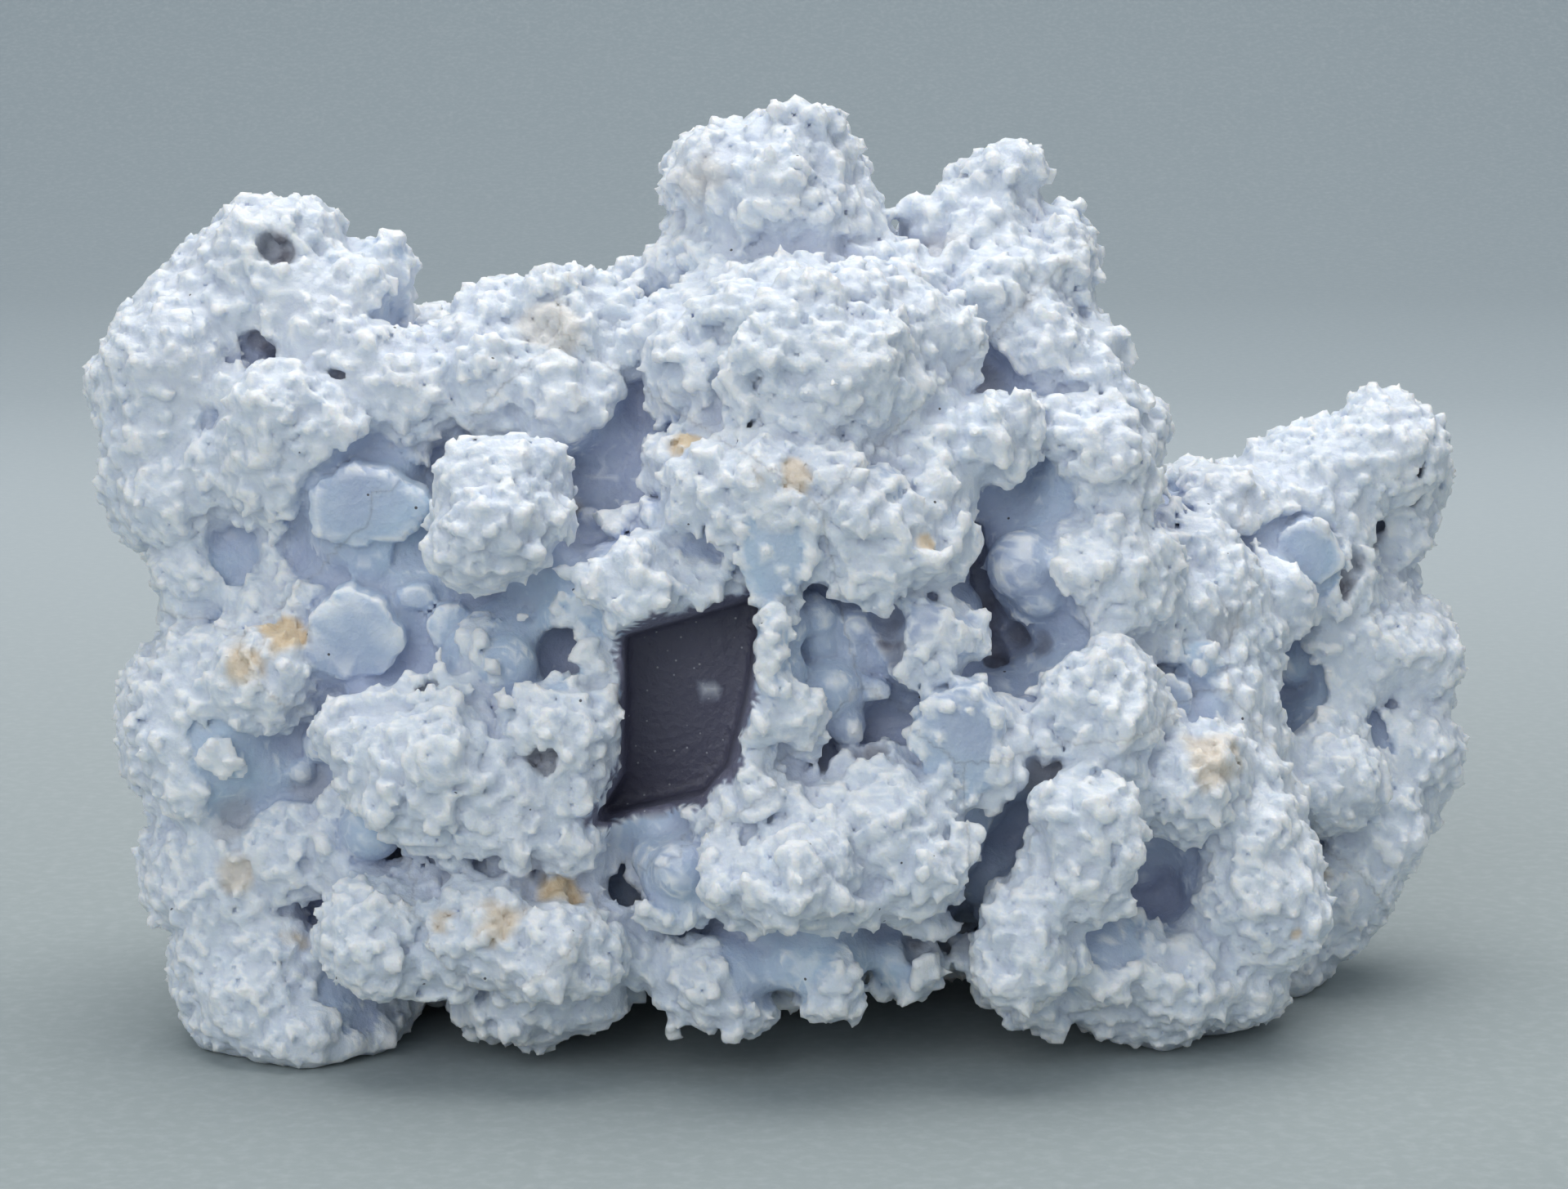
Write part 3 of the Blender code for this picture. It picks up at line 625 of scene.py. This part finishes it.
def cover_field(field, surface):
    """How much white crust lies where: over 0 on the crust, under 0 on bare blue."""
    broad = blurred(field.values[::2, ::2, ::2], FORM_BLUR, VOXEL * 2)
    broad = broad.repeat(2, axis=0).repeat(2, axis=1).repeat(2, axis=2)
    cover = broad[tuple(slice(0, n) for n in field.values.shape)] * FORM_SHARE + COVER_LEVEL
    for wavelength, seed, amount in COVER_NOISES:
        cover += smooth_noise(field, wavelength, seed) * amount
    for mark in CRUST_MARKS:
        middle, _ = surface.seen(mark.across, mark.up)
        part, x, y, z = field.near(middle, mark.radius * 1.25)
        distance = np.sqrt(x * x + y * y + z * z) / np.float32(mark.radius)
        strength = np.clip((MARK_EDGE - distance) * MARK_STEEPNESS, 0, 1)
        cover[part] += strength * np.float32(mark.weight * MARK_SHARE)
    return cover + softness(field.axes[0])[:, None, None] * SOFT_COVER


def terraces(places, plates, relief):
    """How far a layer of tilted plates lifts the skin at some places, and the plates' shades."""
    height, offset, shade = tilted_cells(places, plates.width, plates.seed)
    steps = plates.step * height + plates.tilt * offset - plates.step / 2
    return plates.lift + relief * steps, shade


def lay_crust(field, surface):
    """Sinks the skin a little, then moves it outward by a crust of tilted plates with ragged edges."""
    field.cover = cover_field(field, surface)
    band = np.flatnonzero(np.abs(field.values.ravel()) < CRUST_REACH)
    i, j, k = np.unravel_index(band, field.values.shape)
    places = np.stack([field.axes[0][i], field.axes[1][j], field.axes[2][k]], axis=1)
    for axis in range(3):
        warp = smooth_noise(field, WARP_WAVELENGTH, WARP_SEED + axis).ravel()[band]
        places[:, axis] += warp * np.float32(WARP_AMOUNT)
    crust = np.clip(field.cover.ravel()[band] * CRUST_EDGE + 0.5, 0, 1)
    relief = 1 - SOFT_RELIEF * softness(places[:, 0])
    lift, shade = terraces(places, BROAD_PLATES, relief)
    rise = crust * lift
    lift, _ = terraces(places, SMALL_PLATES, relief)
    rise += crust * lift
    height, offset, fine = tilted_cells(places, FINE_WIDTH, FINE_SEED)
    on_crust = crust * relief * (FINE_STEP * height + FINE_TILT * offset)
    on_blue = (1 - crust) * (BARE_STEP * height + FINE_TILT * offset + BARE_LIFT)
    rise += on_crust + on_blue
    free = field.kind.ravel()[band] != KIND_MOULD
    values = field.values.ravel()
    values[band] -= np.where(free, rise - np.float32(CRUST_BASE), 0)
    field.values = blurred(values.reshape(field.values.shape), CRUST_BLUR, VOXEL)
    kinds = field.kind.ravel()
    kinds[band] = np.where(free & (crust > 0.5), KIND_PLATE, kinds[band])
    field.kind = kinds.reshape(field.values.shape)
    shades = field.shade.ravel()
    shades[band] = (127 * shade + 127 * fine).astype(np.uint8)
    field.shade = shades.reshape(field.values.shape)


def grow_crust(field, surface):
    """Covers the stone with lumps, then with the crust, its moulds, discs, balls, pits and grains."""
    rng = np.random.default_rng(7)
    field.values = blurred(field.values, SKIN_BLUR, VOXEL)
    points = field.skin()[0].astype(np.float32)
    points = points[spread_out(points, LUMP_SPACING, rng)]
    normals = field.slope(points)
    radii = rng.uniform(*LUMP_RADII, len(points))
    grow_knobs(field, points, normals, radii, LUMP_RISE, LUMP_SEAM, rng)
    for prism in MOULDS:
        cut_mould(field, prism)
    lay_crust(field, surface)
    ragged = smooth_noise(field, MOULD_WAVELENGTH, MOULD_SEED)
    field.kind[field.kind == KIND_MOULD] = KIND_SKIN
    for prism in MOULDS:
        cut_mould(field, prism, ragged)
    for disc in DISCS:
        grow_disc(field, surface.seen(disc.across, disc.up)[0], disc, rng)
    for ball in BALLS:
        place, normal = surface.seen(ball.across, ball.up)
        grow_knobs(field, [place], [normal], [ball.radius], ball.rise, BALL_SEAM, rng)
    for pit in PITS:
        carve(field, *surface.seen(pit.across, pit.up), pit.radius)
    points = field.skin()[0].astype(np.float32)
    points = points[spread_out(points, GRAIN_SPACING, rng)]
    normals = field.slope(points)
    cover = field.cover[field.index(points)]
    free = (field.kind[field.index(points)] != KIND_MOULD) & (points[:, 2] > GRAIN_LOWEST)
    some = free & (cover + rng.uniform(*GRAIN_CHANCE, len(points)) > 0.0)
    points, normals = points[some], normals[some]
    radii = rng.uniform(*GRAIN_RADII, len(points))
    lifts = rng.uniform(*GRAIN_LIFTS, len(points))
    grow_grains(field, points, normals, radii, radii * GRAIN_HEIGHT, lifts, rng)


def level_foot(field):
    """Nothing reaches below the surface that the stone stands on."""
    field.values = np.maximum(field.values, -field.axes[2][None, None, :] + np.float32(FOOT_HEIGHT))


def new_piece(name, points, normals, polygons):
    """A mesh of the polygons given, each a row of corners that ends in -1 where it is a triangle."""
    used = np.unique(polygons[polygons >= 0])
    numbers = np.full(len(points), -1, np.int32)
    numbers[used] = np.arange(len(used))
    corners = polygons >= 0
    sizes = corners.sum(axis=1)
    mesh = bpy.data.meshes.new(name)
    mesh.vertices.add(len(used))
    mesh.vertices.foreach_set("co", (points[used] / METRE).astype(np.float32).ravel())
    mesh.loops.add(int(sizes.sum()))
    mesh.loops.foreach_set("vertex_index", numbers[polygons[corners]])
    mesh.polygons.add(len(polygons))
    mesh.polygons.foreach_set("loop_start", (np.cumsum(sizes) - sizes).astype(np.int32))
    mesh.update(calc_edges=True)
    mesh.shade_smooth()
    mesh.normals_split_custom_set_from_vertices(normals[used])
    piece = bpy.data.objects.new(name, mesh)
    bpy.context.collection.objects.link(piece)
    return piece, used


def face_normals(points, polygons):
    """A normal for each polygon, as long as the polygon is large."""
    one = points[polygons[:, 2]] - points[polygons[:, 0]]
    last = np.where(polygons[:, 3] >= 0, polygons[:, 3], polygons[:, 2])
    other = points[last] - points[polygons[:, 1]]
    plain = np.cross(points[polygons[:, 1]] - points[polygons[:, 0]], one)
    return np.where((polygons[:, 3] >= 0)[:, None], np.cross(one, other), plain)


def point_normals(points, polygons):
    """A normal for each point, from the polygons around it."""
    faces = face_normals(points, polygons)
    normals = np.zeros((len(points), 3))
    for corner in range(4):
        rows = polygons[:, corner] >= 0
        for axis in range(3):
            normals[:, axis] += np.bincount(polygons[rows, corner], faces[rows, axis], len(points))
    return normals / np.maximum(np.linalg.norm(normals, axis=1, keepdims=True), 1e-9)


def add_values(piece, name, values):
    """Gives a piece a value at each point, for its material to read."""
    layer = piece.data.attributes.new(name, "FLOAT", "POINT")
    layer.data.foreach_set("value", values.astype(np.float32))


def surface_values(field, surface, points):
    """What the material needs to know at each point."""
    spots = field.index(points)
    clipped = np.clip(field.values, -RIM_CLIP, RIM_CLIP)
    fine = blurred(clipped, RIM_BLUR, VOXEL)[spots]
    half = np.clip(field.values[::2, ::2, ::2], -BAND, BAND)
    coarse = blurred(half, BULGE_BLUR, VOXEL * 2)
    broad = coarse[tuple(np.minimum(s // 2, n - 1) for s, n in zip(spots, coarse.shape))]
    kinds = field.kind[spots]
    pit_marks = [Mark(pit.across, pit.up, pit.radius * PIT_SHADE_SIZE, PIT_SHADE) for pit in PITS]
    return {
        "fine": fine,
        "broad": broad,
        "crust": np.isin(kinds, (KIND_PLATE, KIND_GRAIN)).astype(np.float32),
        "mould": (kinds == KIND_MOULD).astype(np.float32),
        "shade": field.shade[spots] / 255.0,
        "ochre": mark_strength(points, OCHRE_MARKS, surface, 0.35, 5),
        "brown": mark_strength(points, BROWN_MARKS, surface, 0.3, 6),
        "dark": mark_strength(points, pit_marks, surface, 0.2, 7),
    }


class Nodes:
    """A short way to write a material's nodes."""

    def __init__(self, name):
        self.material = bpy.data.materials.new(name)
        self.material.use_nodes = True
        self.tree = self.material.node_tree
        self.shader = self.tree.nodes["Principled BSDF"]

    def new(self, kind, **values):
        """A new node of a kind, with some of its settings."""
        node = self.tree.nodes.new(kind)
        for key, value in values.items():
            setattr(node, key, value)
        return node

    def link(self, one, other):
        """Leads one socket into another."""
        self.tree.links.new(one, other)

    def value(self, name):
        """A value that the mesh holds at each point."""
        return self.new("ShaderNodeAttribute", attribute_name=name).outputs["Fac"]

    def ramp(self, source, low, high, start=0.0, end=1.0):
        """A straight change from start at low to end at high, held beyond both."""
        node = self.new("ShaderNodeMapRange", clamp=True)
        self.link(source, node.inputs["Value"])
        for key, number in (("From Min", low), ("From Max", high), ("To Min", start), ("To Max", end)):
            node.inputs[key].default_value = number
        return node.outputs["Result"]

    def maths(self, operation, one, other):
        """A sum on two sockets, or on a socket and a number."""
        node = self.new("ShaderNodeMath", operation=operation)
        for socket, source in zip(node.inputs, (one, other)):
            if isinstance(source, (int, float)):
                socket.default_value = source
            else:
                self.link(source, socket)
        return node.outputs["Value"]

    def mix(self, share, one, other):
        """One colour where the share is 0 and the other where it is 1."""
        node = self.new("ShaderNodeMix", data_type="RGBA")
        self.link(share, node.inputs["Factor"])
        for socket, source in ((node.inputs["A"], one), (node.inputs["B"], other)):
            if isinstance(source, tuple):
                socket.default_value = (*source, 1)
            else:
                self.link(source, socket)
        return node.outputs["Result"]

    def noise(self, size, detail=2.0, roughness=0.5):
        """Noise whose features measure about size millimetres."""
        place = self.new("ShaderNodeTexCoord").outputs["Object"]
        node = self.new("ShaderNodeTexNoise")
        self.link(place, node.inputs["Vector"])
        node.inputs["Scale"].default_value = METRE / size
        node.inputs["Detail"].default_value = detail
        node.inputs["Roughness"].default_value = roughness
        return node.outputs["Fac"]

    def cells(self, size):
        """The distance from the nearest of some scattered spots about size millimetres apart."""
        place = self.new("ShaderNodeTexCoord").outputs["Object"]
        node = self.new("ShaderNodeTexVoronoi")
        self.link(place, node.inputs["Vector"])
        node.inputs["Scale"].default_value = METRE / size
        return node.outputs["Distance"]


def chalcedony_material():
    """Blue stone under white frost with stains and specks, frosty rims with painted highlight, and painted
    shade in hollows, creases, moulds and pits.
    """
    n = Nodes("chalcedony")
    fine = n.value("fine")
    broad = n.value("broad")
    crust = n.value("crust")
    mould = n.value("mould")
    shade = n.value("shade")
    cloud = n.noise(6.0, 3.0)
    mottle = n.noise(1.1, 4.0, 0.6)

    blue = n.mix(n.ramp(cloud, 0.35, 0.65), DEEP_BLUE, SKY_BLUE)
    blue = n.mix(n.ramp(mottle, 0.4, 0.7, 0.0, 0.35), blue, PALE_BLUE)
    frost = n.mix(n.ramp(shade, 0.0, 1.0), DULL_FROST, BRIGHT_FROST)
    colour = n.mix(n.ramp(crust, 0.0, 1.0, 0.0, 0.85), blue, frost)
    # Painted shade: hollows are darker and more violet
    hollow_shade = n.ramp(broad, -1.0, 0.0, 1.0, 0.0)
    colour = n.mix(n.maths("MULTIPLY", hollow_shade, 0.6), colour, PAINTED_HOLLOW_SHADE)
    # Raised rims are whiter: partly white frost, partly a painted highlight
    rim = n.ramp(fine, 0.02, 0.16)
    colour = n.mix(n.maths("MULTIPLY", rim, 0.75), colour, RIM_FROST_AND_HIGHLIGHT)
    # Painted shade: creases are darker and bluer
    crease_shade = n.ramp(fine, -0.14, 0.0, 1.0, 0.0)
    colour = n.mix(n.maths("MULTIPLY", crease_shade, 0.35), colour, PAINTED_CREASE_SHADE)
    # Painted shade: the walls of the moulds are nearly black-violet
    colour = n.mix(n.ramp(mould, 0.0, 1.0, 0.0, 0.93), colour, PAINTED_MOULD_SHADE)
    colour = n.mix(n.maths("MULTIPLY", n.value("ochre"), 0.8), colour, OCHRE)
    colour = n.mix(n.maths("MULTIPLY", n.value("brown"), 0.6), colour, BROWN)
    # Painted shade in and around the pits
    colour = n.mix(n.ramp(n.value("dark"), 0.0, 1.0, 0.0, 0.85), colour, PAINTED_PIT_SHADE)
    colour = n.mix(n.ramp(n.cells(2.3), 0.028, 0.036, 0.9, 0.0), colour, SPECK_BLACK)
    sparkle = n.ramp(n.cells(0.55), 0.06, 0.12, 0.8, 0.0)
    glints = n.maths("MULTIPLY", sparkle, n.ramp(mould, 0.0, 1.0, 0.15, 0.75))
    colour = n.mix(glints, colour, GLINT_WHITE)
    n.link(colour, n.shader.inputs["Base Color"])

    grit = n.noise(0.16, 3.0, 0.6)
    facets = n.cells(0.42)
    height = n.maths("ADD", n.maths("MULTIPLY", grit, 0.6), n.maths("MULTIPLY", facets, 0.5))
    bump = n.new("ShaderNodeBump")
    bump.inputs["Strength"].default_value = 0.6
    bump.inputs["Distance"].default_value = 0.00015
    n.link(height, bump.inputs["Height"])
    n.link(bump.outputs["Normal"], n.shader.inputs["Normal"])
    n.link(n.ramp(grit, 0.3, 0.7, 0.28, 0.55), n.shader.inputs["Roughness"])
    n.shader.inputs["Subsurface Weight"].default_value = 0.8
    n.shader.inputs["Subsurface Radius"].default_value = (0.8, 0.9, 1.1)
    n.shader.inputs["Subsurface Scale"].default_value = 0.00035
    n.shader.inputs["IOR"].default_value = 1.54
    return n.material


def build_stone(surface):
    """Grows the stone's skin over the frame's solid, and returns it as a few pieces."""
    field = Field(surface)
    grow_crust(field, surface)
    level_foot(field)
    points, triangles, quads = field.skin(SKIN_ADAPTIVITY)
    polygons = np.full((len(triangles) + len(quads), 4), -1, np.int32)
    polygons[:len(triangles), :3] = triangles
    polygons[len(triangles):] = quads
    polygons = polygons[:, ::-1] if turned_in(points, quads) else polygons
    polygons = np.where(polygons[:, :1] < 0, np.roll(polygons, -1, axis=1), polygons)
    normals = point_normals(points, polygons)
    values = surface_values(field, surface, points)
    middles = points[polygons[:, :3]].mean(axis=1)
    seeds = np.array([(seed.x, seed.y, seed.z) for seed in SEEDS])
    owner = np.argmin(np.linalg.norm(middles[:, None] - seeds[None], axis=2), axis=1)
    material = chalcedony_material()
    pieces = []
    for number, seed in enumerate(SEEDS):
        piece, used = new_piece(seed.name, points, normals, polygons[owner == number])
        for name, numbers in values.items():
            add_values(piece, name, numbers[used])
        piece.data.materials.append(material)
        pieces.append(piece)
    return pieces


def turned_in(points, quads):
    """Whether the faces look into the stone: the volume that they enclose is then negative."""
    a, b, c = (points[quads[:, i]] for i in range(3))
    return (np.cross(a, b) * c).sum() < 0


def build_stage():
    """A pale floor that curves up into a backdrop, with painted light and shade across it."""
    profile = [(FLOOR_FRONT, 0.0), (FLOOR_BACK, 0.0)]
    for turn in np.linspace(0.1, math.pi / 2, 12):
        profile.append((FLOOR_BACK + FLOOR_BEND * math.sin(turn), FLOOR_BEND - FLOOR_BEND * math.cos(turn)))
    profile.append((FLOOR_BACK + FLOOR_BEND, FLOOR_TOP))
    corners = [(x, y, z) for y, z in profile for x in (-FLOOR_SIDE, FLOOR_SIDE)]
    faces = [(2 * i, 2 * i + 1, 2 * i + 3, 2 * i + 2) for i in range(len(profile) - 1)]
    mesh = bpy.data.meshes.new("floor")
    mesh.from_pydata(corners, [], faces)
    mesh.shade_smooth()
    floor = bpy.data.objects.new("floor", mesh)
    bpy.context.collection.objects.link(floor)
    n = Nodes("floor")
    n.shader.inputs["Roughness"].default_value = 0.55
    n.shader.inputs["Specular IOR Level"].default_value = 0.25
    # Painted light: the floor darkens in front and towards the wall, with a lighter band behind the stone
    place = n.new("ShaderNodeSeparateXYZ")
    n.link(n.new("ShaderNodeTexCoord").outputs["Object"], place.inputs["Vector"])
    light_bands = n.new("ShaderNodeValToRGB")
    n.link(n.ramp(place.outputs["Y"], -0.05, 0.65), light_bands.inputs["Fac"])
    light_bands.color_ramp.interpolation = "B_SPLINE"
    while len(light_bands.color_ramp.elements) < len(FLOOR_PAINTED_LIGHT):
        light_bands.color_ramp.elements.new(0.5)
    for element, (position, tone) in zip(light_bands.color_ramp.elements, FLOOR_PAINTED_LIGHT):
        element.position = position
        element.color = (*tone, 1)
    patches = n.ramp(n.noise(0.8, 4.0, 0.6), 0.45, 0.75, 0.0, 0.25)
    pale = n.mix(patches, light_bands.outputs["Color"], FLOOR_PATCH)
    n.link(pale, n.shader.inputs["Base Color"])
    mesh.materials.append(n.material)


def add_area(name, place, size, power, colour):
    """A round lamp that shines on the stone."""
    light = bpy.data.lights.new(name, "AREA")
    light.shape = "DISK"
    light.size = size
    light.energy = power
    light.color = colour
    lamp = bpy.data.objects.new(name, light)
    bpy.context.collection.objects.link(lamp)
    lamp.location = place
    lamp.rotation_euler = (Vector(LIGHT_AIM) - Vector(place)).to_track_quat("-Z", "Y").to_euler()


def build_lights():
    """A soft light from above, a weaker one from the front left, and a pale surround."""
    add_area("overhead", (0.02, 0.10, 0.55), size=0.6, power=2.6, colour=(1.0, 0.99, 0.98))
    add_area("front_fill", (-0.25, -0.6, 0.35), size=0.6, power=1.7, colour=(0.93, 0.96, 1.0))
    world = bpy.data.worlds.new("studio")
    bpy.context.scene.world = world
    world.use_nodes = True
    back = world.node_tree.nodes["Background"]
    back.inputs["Color"].default_value = (0.80, 0.86, 0.92, 1)
    back.inputs["Strength"].default_value = 0.42


def build_camera():
    """The camera of the front view."""
    eye, forward, _ = view_axes()
    data = bpy.data.cameras.new("camera")
    data.sensor_width = 36.0
    data.lens = data.sensor_width * VIEW_DISTANCE / VIEW_WIDTH
    data.clip_start = 0.001
    camera = bpy.data.objects.new("camera", data)
    bpy.context.collection.objects.link(camera)
    camera.location = Vector(eye / METRE)
    camera.rotation_euler = Vector(forward).to_track_quat("-Z", "Y").to_euler()
    bpy.context.scene.camera = camera


def main():
    """Builds the stone on the frame, and everything around it."""
    surface = Surface(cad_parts[NODE])
    for piece in build_stone(surface):
        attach(piece, "root")
        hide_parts(NODE)
    build_stage()
    build_lights()
    build_camera()
    bpy.context.scene.view_settings.view_transform = "Standard"


main()
